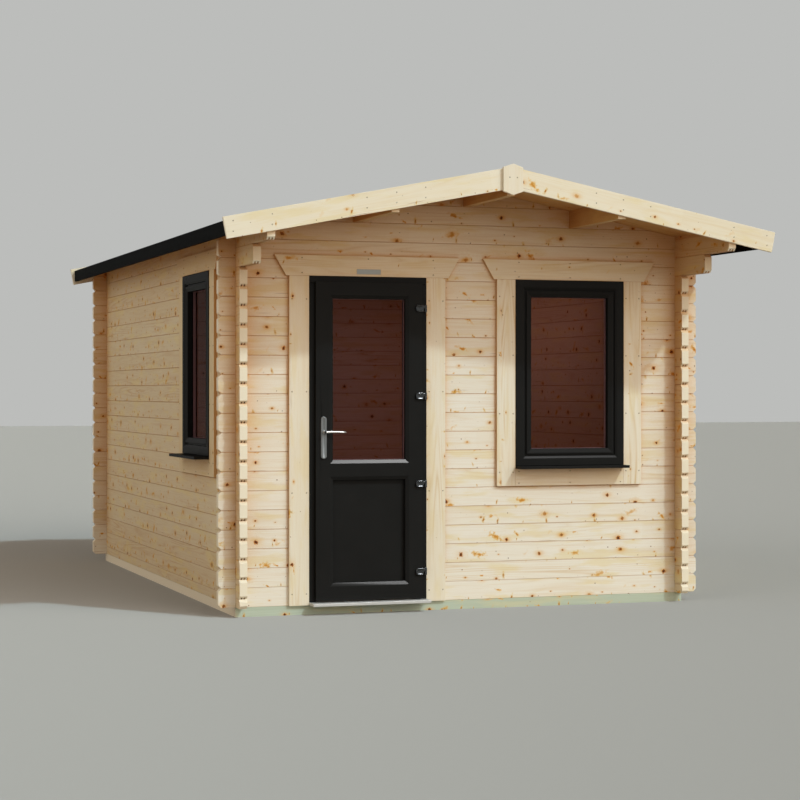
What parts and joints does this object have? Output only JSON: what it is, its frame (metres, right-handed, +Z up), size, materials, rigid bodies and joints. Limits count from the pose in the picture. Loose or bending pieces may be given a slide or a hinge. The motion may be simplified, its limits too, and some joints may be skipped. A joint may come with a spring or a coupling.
{
  "type": "log cabin",
  "caption": "Single-room garden log cabin of interlocking squared logs, with a low felted roof that overhangs the front, a half-glazed door that opens outward and fixed windows.",
  "frame": {"origin": "on the ground under the middle of the whole cabin's plan, roof included: under the ridge line, half way between the front and back finials", "axes": "+X to the right as one faces the door, +Y from the front gable to the back wall, +Z up"},
  "size_m": [3.229, 4.824, 2.4924],
  "materials": {
    "spruce_logs": "planed, untreated spruce with small knots",
    "spruce_boards": "planed tongue and groove spruce boards",
    "planed_boards": "planed, very light spruce",
    "treated_timber": "pressure treated, pale green",
    "roof_felt": "black, matte",
    "black_pvc": "anthracite black, satin",
    "smoked_glass": "dark red-brown tint, smooth",
    "steel": "satin",
    "alloy_threshold": "light grey, satin"
  },
  "bodies": {
    "cabin": {"bearers": "treated_timber", "floor_joists": "treated_timber", "floor_boards": "spruce_boards", "front_wall_left": "spruce_logs", "front_wall_middle": "spruce_logs", "front_wall_right": "spruce_logs", "front_wall_under_window": "spruce_logs", "front_gable": "spruce_logs", "back_wall": "spruce_logs", "left_wall_lower": "spruce_logs", "left_wall_front": "spruce_logs", "left_wall_rear": "spruce_logs", "left_wall_top": "spruce_logs", "right_wall": "spruce_logs", "right_wall_top": "spruce_logs", "ridge_beam": "spruce_logs", "purlins": "spruce_logs", "roof_boards_left": "spruce_boards", "roof_boards_right": "spruce_boards", "roof_felt_left": "roof_felt", "roof_felt_right": "roof_felt", "fascias": "roof_felt", "front_bargeboards": "planed_boards", "back_bargeboards": "planed_boards", "finials": "planed_boards", "door_trim": "planed_boards", "front_window_trim": "planed_boards", "side_window_trim": "planed_boards", "door_frame": "black_pvc", "door_threshold": "alloy_threshold", "hinge_posts": "steel", "front_window_frame": "black_pvc", "front_window_sash": "black_pvc", "front_window_glass": "smoked_glass", "front_window_sill": "black_pvc", "side_window_frame": "black_pvc", "side_window_sash": "black_pvc", "side_window_glass": "smoked_glass", "side_window_sill": "black_pvc"},
    "door": {"door_leaf": "black_pvc", "door_glass": "smoked_glass", "door_panel": "black_pvc", "hinge_flags": "steel", "handle_plates": "steel"},
    "lever": {"door_handle": "steel"}
  },
  "joints": [
    {"name": "door_hinge", "type": "hinge", "parent": "cabin", "child": "door", "pos_m": [-0.269, -1.738, 0.9], "axis": [0, 0, 1], "range_deg": [0, 95]},
    {"name": "handle_turn", "type": "hinge", "parent": "door", "child": "lever", "pos_m": [-0.876, -1.69, 1.026], "axis": [0, 1, 0], "range_deg": [0, 40], "stiffness_Nm_per_rad": 1.5, "springref_deg": -28.65}
  ]
}
